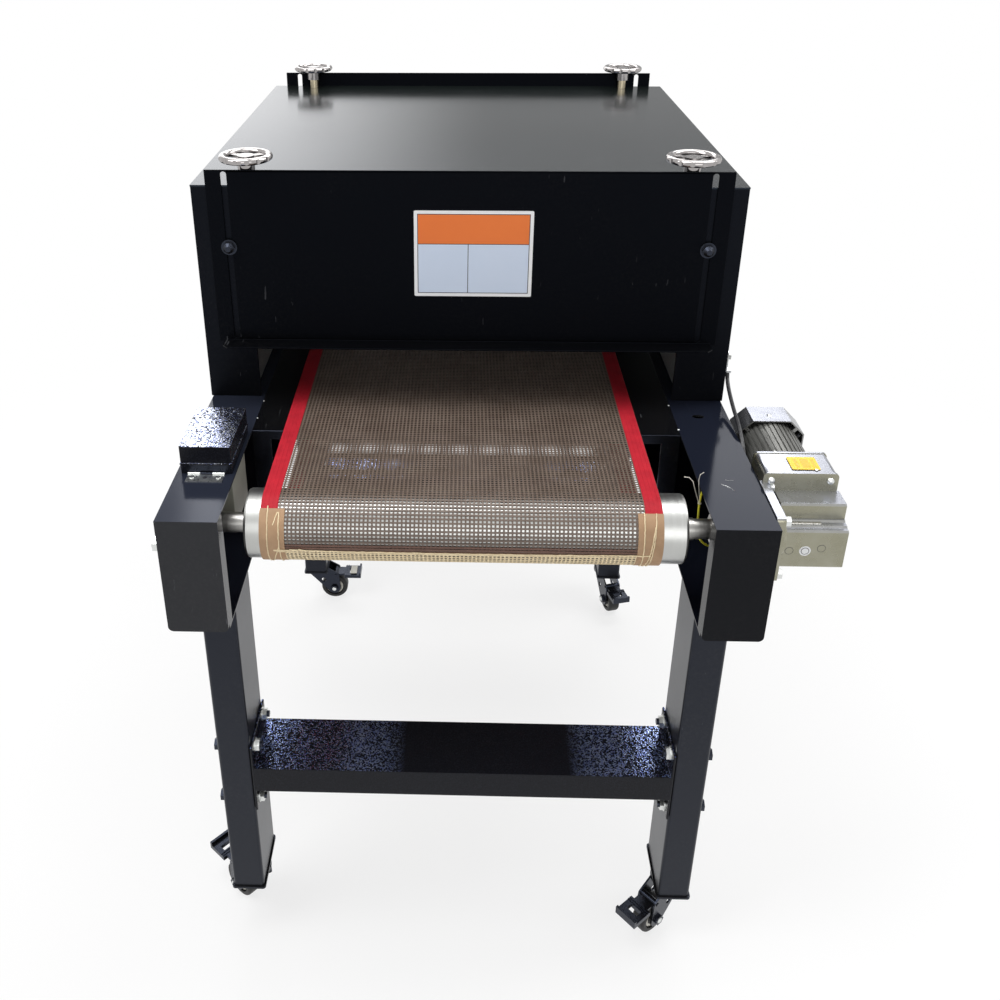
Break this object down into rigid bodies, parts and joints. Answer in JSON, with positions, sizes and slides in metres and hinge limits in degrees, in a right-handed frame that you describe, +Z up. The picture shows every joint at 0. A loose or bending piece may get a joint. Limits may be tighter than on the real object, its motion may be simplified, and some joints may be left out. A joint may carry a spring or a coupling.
{
  "type": "infrared conveyor dryer",
  "caption": "Tunnel dryer on braked casters: an open mesh belt runs under a box housing with height panels, lamp handwheels and a side gearmotor",
  "frame": {"origin": "on the floor, under the middle of the whole object's box", "axes": "+X to the gearmotor's side, +Y along the belt from infeed to outfeed, +Z up; the infeed end faces -Y"},
  "size_m": [0.7566, 1.0054, 0.9825],
  "materials": {
    "frame_paint": "semi-gloss powder coat",
    "hammer_paint": "speckled hammer finish",
    "black_fastener": "black oxide",
    "zinc": "bright zinc",
    "chrome": "polished",
    "brass": "turned",
    "bare_sheet": "mill finish",
    "bearing_housing": "painted casting",
    "cast_gearbox": "rough casting, painted",
    "motor_grey": "satin",
    "cable_jacket": "matte",
    "wire_jacket": "glossy",
    "light_plastic": "matte",
    "coated_mesh": "open coated mesh",
    "roller_steel": "turned",
    "quartz": "clear",
    "lamp_ceramic": "unglazed",
    "black_steel": "black lacquer",
    "caster_rubber": "moulded"
  },
  "bodies": {
    "machine": {"arm_left": "frame_paint", "arm_right": "frame_paint", "bearing_bolts": "zinc", "belt": "coated_mesh", "cap_nuts": "black_fastener", "caster_heads": "black_steel", "crossbar_front": "hammer_paint", "crossbar_rear": "hammer_paint", "deck_plate": "frame_paint", "drive_bearing": "bearing_housing", "earth_wire": "wire_jacket", "fan_cover": "motor_grey", "gear_case": "cast_gearbox", "gearbox_bolts": "zinc", "hinge_leaf": "zinc", "housing_shell": "frame_paint", "idler_bearings": "bearing_housing", "idler_shaft": "roller_steel", "lead_clip": "zinc", "leg_bolts": "black_fastener", "leg_front_left": "frame_paint", "leg_front_right": "frame_paint", "leg_nuts": "zinc", "leg_rear_left": "frame_paint", "leg_rear_right": "frame_paint", "motor_body": "motor_grey", "motor_lead": "cable_jacket", "panel_studs": "zinc", "screw_collars": "brass", "tension_bolts": "zinc", "top_plate": "frame_paint", "tunnel_liner": "bare_sheet", "wiring_box": "light_plastic"},
    "front_panel": {"front_panel": "frame_paint"},
    "rear_panel": {"rear_panel": "frame_paint"},
    "cover": {"cover_base": "frame_paint", "cover_lid": "hammer_paint"},
    "drive_roller": {"drive_roller": "roller_steel", "drive_shaft": "roller_steel"},
    "idler_roller": {"idler_roller": "roller_steel"},
    "motor_fan": {"motor_fan": "roller_steel"},
    "lamps": {"lamp_tray": "bare_sheet", "lamp_tubes": "quartz", "lamp_holders": "lamp_ceramic"},
    "handwheel_front_left": {"handwheel_front_left": "chrome"},
    "caster_fork_front_left": {"caster_fork_front_left": "black_steel"},
    "caster_wheel_front_left": {"caster_wheel_front_left": "caster_rubber"},
    "caster_pedal_front_left": {"caster_pedal_front_left": "black_steel"},
    "handwheel_front_right": {"handwheel_front_right": "chrome"},
    "caster_fork_front_right": {"caster_fork_front_right": "black_steel"},
    "caster_wheel_front_right": {"caster_wheel_front_right": "caster_rubber"},
    "caster_pedal_front_right": {"caster_pedal_front_right": "black_steel"},
    "handwheel_rear_left": {"handwheel_rear_left": "chrome"},
    "caster_fork_rear_left": {"caster_fork_rear_left": "black_steel"},
    "caster_wheel_rear_left": {"caster_wheel_rear_left": "caster_rubber"},
    "caster_pedal_rear_left": {"caster_pedal_rear_left": "black_steel"},
    "handwheel_rear_right": {"handwheel_rear_right": "chrome"},
    "caster_fork_rear_right": {"caster_fork_rear_right": "black_steel"},
    "caster_wheel_rear_right": {"caster_wheel_rear_right": "caster_rubber"},
    "caster_pedal_rear_right": {"caster_pedal_rear_right": "black_steel"}
  },
  "joints": [
    {"name": "front_panel_slide", "type": "slide", "parent": "machine", "child": "front_panel", "axis": [0, 0, 1], "range_m": [-0.07, 0.004]},
    {"name": "rear_panel_slide", "type": "slide", "parent": "machine", "child": "rear_panel", "axis": [0, 0, 1], "range_m": [-0.07, 0.002]},
    {"name": "cover_hinge", "type": "hinge", "parent": "machine", "child": "cover", "pos_m": [-0.31868, -0.40815, 0.6735], "axis": [1, 0, 0], "range_deg": [0, 90]},
    {"name": "drive_roller_spin", "type": "hinge", "parent": "machine", "child": "drive_roller", "pos_m": [-0.03068, -0.44465, 0.634], "axis": [1, 0, 0], "continuous": true},
    {"name": "idler_roller_spin", "type": "hinge", "parent": "machine", "child": "idler_roller", "pos_m": [-0.03068, 0.43935, 0.634], "axis": [1, 0, 0], "continuous": true},
    {"name": "motor_fan_spin", "type": "hinge", "parent": "machine", "child": "motor_fan", "pos_m": [0.33532, -0.31365, 0.645], "axis": [0, 1, 0], "continuous": true},
    {"name": "lamp_lift", "type": "slide", "parent": "machine", "child": "lamps", "axis": [0, 0, 1], "range_m": [-0.04, 0.04]},
    {"name": "handwheel_front_left_turn", "type": "hinge", "parent": "machine", "child": "handwheel_front_left", "pos_m": [-0.28918, -0.20315, 0.9785], "axis": [0, 0, 1], "range_deg": [-3601, 3601]},
    {"name": "handwheel_front_right_turn", "type": "hinge", "parent": "machine", "child": "handwheel_front_right", "pos_m": [0.22782, -0.20315, 0.9785], "axis": [0, 0, 1], "range_deg": [-3601, 3601]},
    {"name": "handwheel_rear_left_turn", "type": "hinge", "parent": "machine", "child": "handwheel_rear_left", "pos_m": [-0.28918, 0.40085, 0.9785], "axis": [0, 0, 1], "range_deg": [-3601, 3601]},
    {"name": "handwheel_rear_right_turn", "type": "hinge", "parent": "machine", "child": "handwheel_rear_right", "pos_m": [0.22782, 0.40085, 0.9785], "axis": [0, 0, 1], "range_deg": [-3601, 3601]},
    {"name": "caster_front_left_swivel", "type": "hinge", "parent": "machine", "child": "caster_fork_front_left", "pos_m": [-0.30668, -0.42765, 0.07], "axis": [0, 0, 1], "continuous": true},
    {"name": "caster_front_left_roll", "type": "hinge", "parent": "caster_fork_front_left", "child": "caster_wheel_front_left", "pos_m": [-0.32897, -0.40758, 0.025], "axis": [-0.6691, -0.7431, 0], "continuous": true},
    {"name": "caster_front_left_brake", "type": "hinge", "parent": "caster_fork_front_left", "child": "caster_pedal_front_left", "pos_m": [-0.33194, -0.4049, 0.055], "axis": [-0.6691, -0.7431, 0], "range_deg": [0, 12]},
    {"name": "caster_front_right_swivel", "type": "hinge", "parent": "machine", "child": "caster_fork_front_right", "pos_m": [0.24532, -0.42765, 0.07], "axis": [0, 0, 1], "continuous": true},
    {"name": "caster_front_right_roll", "type": "hinge", "parent": "caster_fork_front_right", "child": "caster_wheel_front_right", "pos_m": [0.22268, -0.44733, 0.025], "axis": [0.6561, -0.7547, 0], "continuous": true},
    {"name": "caster_front_right_brake", "type": "hinge", "parent": "caster_fork_front_right", "child": "caster_pedal_front_right", "pos_m": [0.21966, -0.44996, 0.055], "axis": [0.6561, -0.7547, 0], "range_deg": [0, 12]},
    {"name": "caster_rear_left_swivel", "type": "hinge", "parent": "machine", "child": "caster_fork_rear_left", "pos_m": [-0.30668, 0.25335, 0.07], "axis": [0, 0, 1], "continuous": true},
    {"name": "caster_rear_left_roll", "type": "hinge", "parent": "caster_fork_rear_left", "child": "caster_wheel_rear_left", "pos_m": [-0.27668, 0.25335, 0.025], "axis": [0, 1, 0], "continuous": true},
    {"name": "caster_rear_left_brake", "type": "hinge", "parent": "caster_fork_rear_left", "child": "caster_pedal_rear_left", "pos_m": [-0.27268, 0.25335, 0.055], "axis": [0, 1, 0], "range_deg": [0, 12]},
    {"name": "caster_rear_right_swivel", "type": "hinge", "parent": "machine", "child": "caster_fork_rear_right", "pos_m": [0.24532, 0.25335, 0.07], "axis": [0, 0, 1], "continuous": true},
    {"name": "caster_rear_right_roll", "type": "hinge", "parent": "caster_fork_rear_right", "child": "caster_wheel_rear_right", "pos_m": [0.25309, 0.22437, 0.025], "axis": [0.9659, 0.2588, 0], "continuous": true},
    {"name": "caster_rear_right_brake", "type": "hinge", "parent": "caster_fork_rear_right", "child": "caster_pedal_rear_right", "pos_m": [0.25412, 0.22051, 0.055], "axis": [0.9659, 0.2588, 0], "range_deg": [0, 12]}
  ],
  "couplings": [
    {"joint": "idler_roller_spin", "follows": "drive_roller_spin", "ratio": 1},
    {"joint": "motor_fan_spin", "follows": "drive_roller_spin", "ratio": 30},
    {"joint": "handwheel_front_left_turn", "follows": "lamp_lift", "rad_per_m": -1570.8},
    {"joint": "handwheel_front_right_turn", "follows": "lamp_lift", "rad_per_m": -1570.8},
    {"joint": "handwheel_rear_left_turn", "follows": "lamp_lift", "rad_per_m": -1570.8},
    {"joint": "handwheel_rear_right_turn", "follows": "lamp_lift", "rad_per_m": -1570.8}
  ]
}
